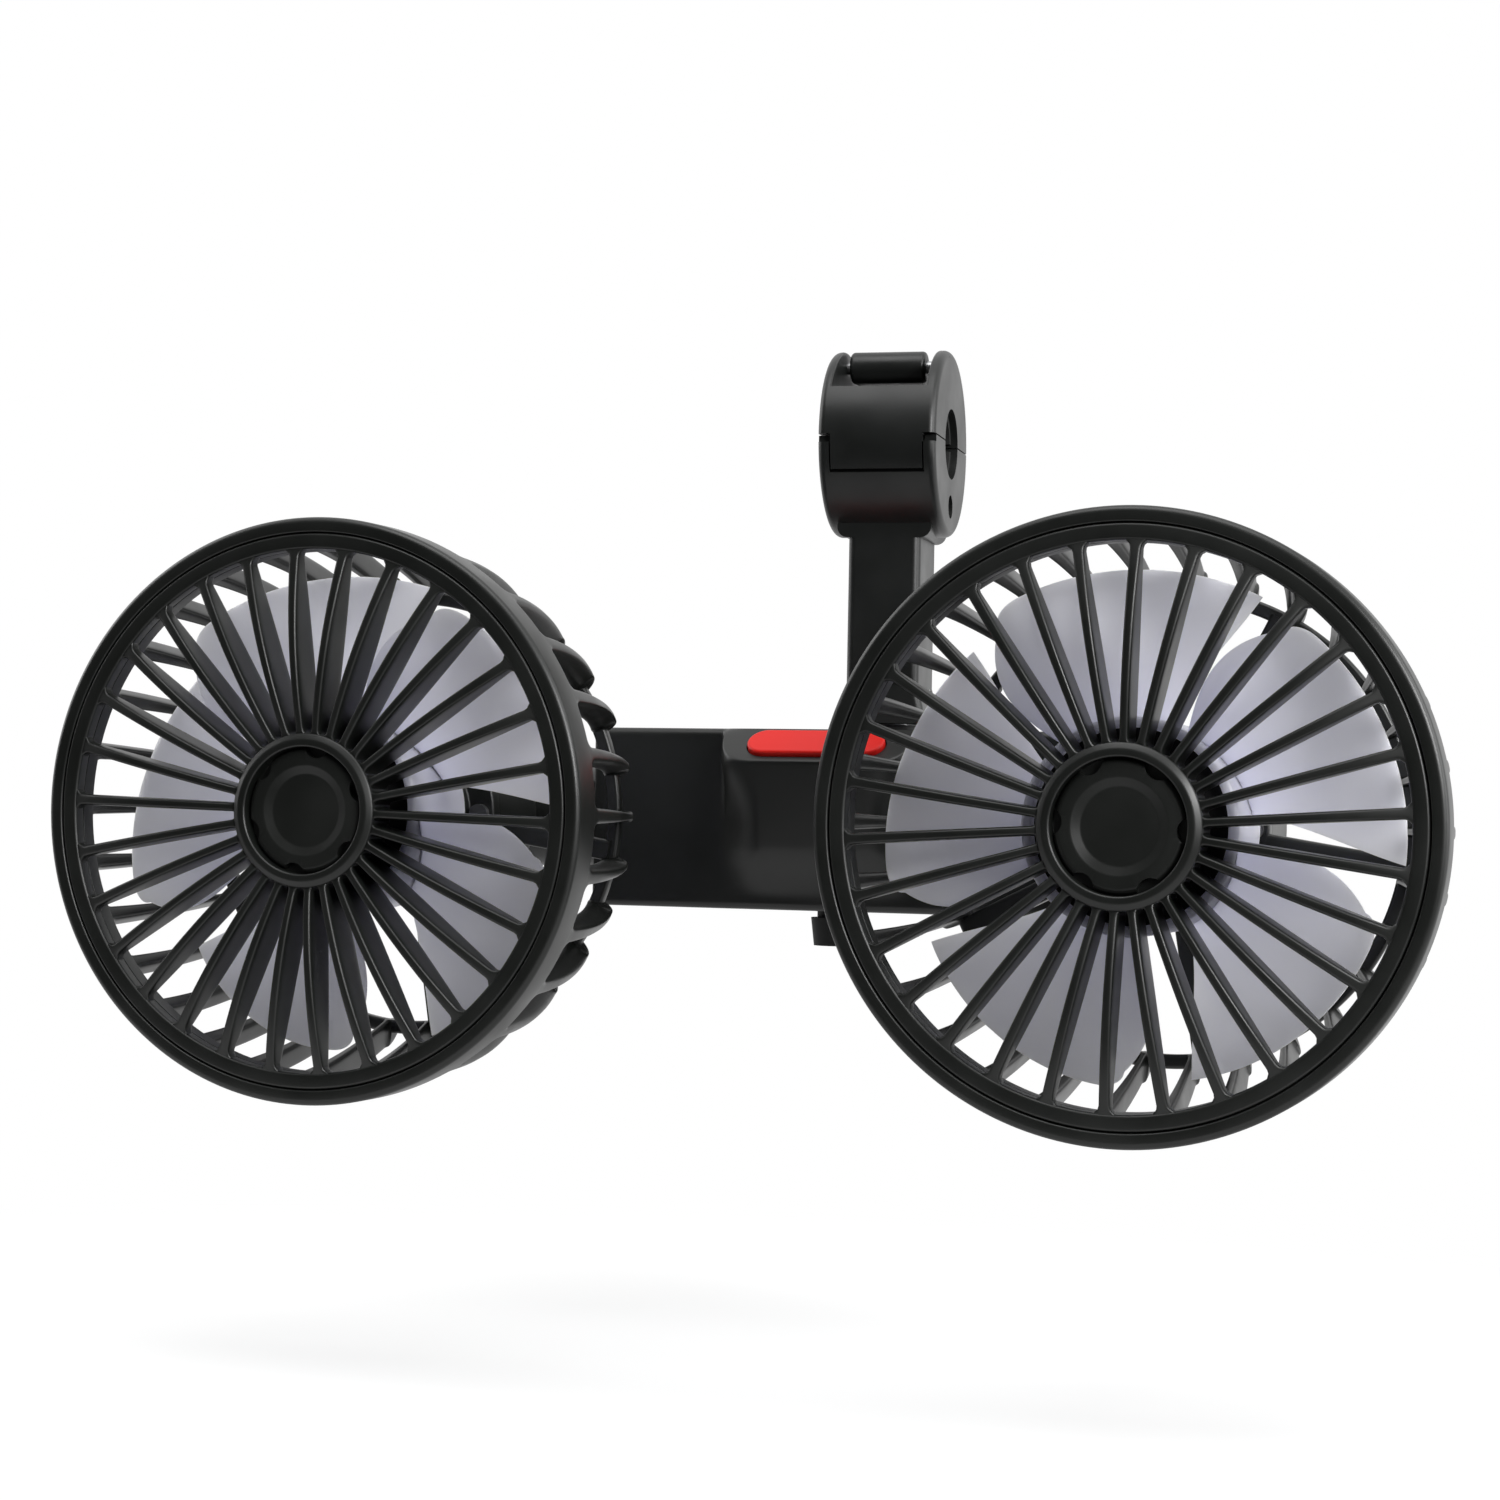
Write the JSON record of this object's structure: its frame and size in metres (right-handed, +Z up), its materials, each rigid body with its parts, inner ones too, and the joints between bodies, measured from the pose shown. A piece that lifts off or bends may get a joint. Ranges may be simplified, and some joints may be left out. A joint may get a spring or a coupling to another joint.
{
  "type": "dual head car fan",
  "caption": "Twin caged axial fans on tilting necks at the ends of a switch bar, hung on a swivelling arm from a hinged clamp for a headrest post.",
  "frame": {"origin": "centre of the clamp bore, on its axis", "axes": "+X along the body bar to the viewer's right, +Y to the rear, +Z up"},
  "size_m": [0.276, 0.1217, 0.1583],
  "materials": {
    "grille_abs": "satin",
    "cap_abs": "satin",
    "cage_abs": "satin",
    "body_abs": "fine texture",
    "clamp_abs": "fine texture",
    "blade_pp": "translucent satin",
    "button_red": "satin gloss",
    "rubber": "matte",
    "nylon": "matte",
    "steel": "turned",
    "zinc_plate": "zinc plated",
    "bronze": "sintered",
    "board": "solder mask",
    "switch_case": "moulded"
  },
  "bodies": {
    "clamp": {"clamp_arm": "clamp_abs", "lower_pad": "rubber", "swivel_pin": "steel", "cap_hinge_pin": "steel"},
    "cap": {"clamp_cap": "clamp_abs", "upper_pad": "rubber", "lever_pin": "steel"},
    "lever": {"clamp_lever": "clamp_abs"},
    "fan_body": {"front_shell": "body_abs", "rear_shell": "body_abs", "body_screws": "steel", "circuit_board": "board", "button_switch": "switch_case", "cable_gland": "rubber", "swivel_stud": "steel", "swivel_washer": "nylon", "left_friction_ring": "nylon", "right_friction_ring": "nylon"},
    "button": {"power_button": "button_red"},
    "left_head": {"left_front_grille": "grille_abs", "left_hub_cap": "cap_abs", "left_rear_cage": "cage_abs", "left_motor_can": "zinc_plate", "left_motor_bush": "bronze", "left_motor_pod": "body_abs", "left_pod_screws": "steel", "left_neck": "body_abs"},
    "left_fan": {"left_rotor": "blade_pp", "left_rotor_core": "nylon", "left_motor_shaft": "steel"},
    "right_head": {"right_front_grille": "grille_abs", "right_hub_cap": "cap_abs", "right_rear_cage": "cage_abs", "right_motor_can": "zinc_plate", "right_motor_bush": "bronze", "right_motor_pod": "body_abs", "right_pod_screws": "steel", "right_neck": "body_abs"},
    "right_fan": {"right_rotor": "blade_pp", "right_rotor_core": "nylon", "right_motor_shaft": "steel"}
  },
  "joints": [
    {"name": "cap_open", "type": "hinge", "parent": "clamp", "child": "cap", "pos_m": [-0.00204, 0.02331, 0], "axis": [-0.9962, -0.0872, 0], "range_deg": [0, 100]},
    {"name": "lever_turn", "type": "hinge", "parent": "cap", "child": "lever", "pos_m": [0, 0, 0.0166], "axis": [0.9962, 0.0872, 0], "range_deg": [0, 90]},
    {"name": "arm_swivel", "type": "hinge", "parent": "clamp", "child": "fan_body", "pos_m": [0, 0, -0.06], "axis": [0, 0, 1], "range_deg": [-45, 45]},
    {"name": "button_press", "type": "slide", "parent": "fan_body", "child": "button", "axis": [0, 0.5932, -0.8051], "range_m": [0, 0.001], "stiffness_N_per_m": 1500},
    {"name": "left_tilt", "type": "hinge", "parent": "fan_body", "child": "left_head", "pos_m": [-0.0913, 0, -0.0808], "axis": [1, 0, 0], "range_deg": [-60, 60]},
    {"name": "left_spin", "type": "hinge", "parent": "left_head", "child": "left_fan", "pos_m": [-0.0913, -0.06, -0.0808], "axis": [0, 1, 0], "continuous": true},
    {"name": "right_tilt", "type": "hinge", "parent": "fan_body", "child": "right_head", "pos_m": [0.0697, 0, -0.0808], "axis": [1, 0, 0], "range_deg": [-60, 60]},
    {"name": "right_spin", "type": "hinge", "parent": "right_head", "child": "right_fan", "pos_m": [0.0697, -0.06, -0.0808], "axis": [0, 1, 0], "continuous": true}
  ]
}
